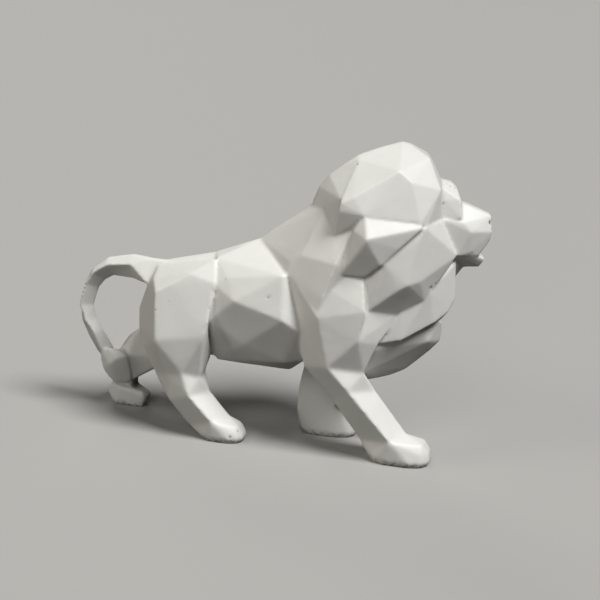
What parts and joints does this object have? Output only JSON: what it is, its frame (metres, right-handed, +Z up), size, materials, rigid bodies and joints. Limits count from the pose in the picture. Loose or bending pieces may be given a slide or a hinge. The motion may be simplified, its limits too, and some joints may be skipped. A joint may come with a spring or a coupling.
{
  "type": "lion sculpture",
  "caption": "Faceted low-poly sculpture of a pacing lion with a tiered mane and a curled tail, standing on its paws.",
  "frame": {"origin": "on the surface that it stands on, under the middle of the lion's overall box", "axes": "+X towards the lion's head, +Y towards its left side, +Z up"},
  "size_m": [0.2456, 0.0872, 0.182],
  "materials": {
    "painted_resin": "satin-matt off-white paint over cast resin"
  },
  "bodies": {
    "root": {"lion": "painted_resin"}
  },
  "joints": []
}
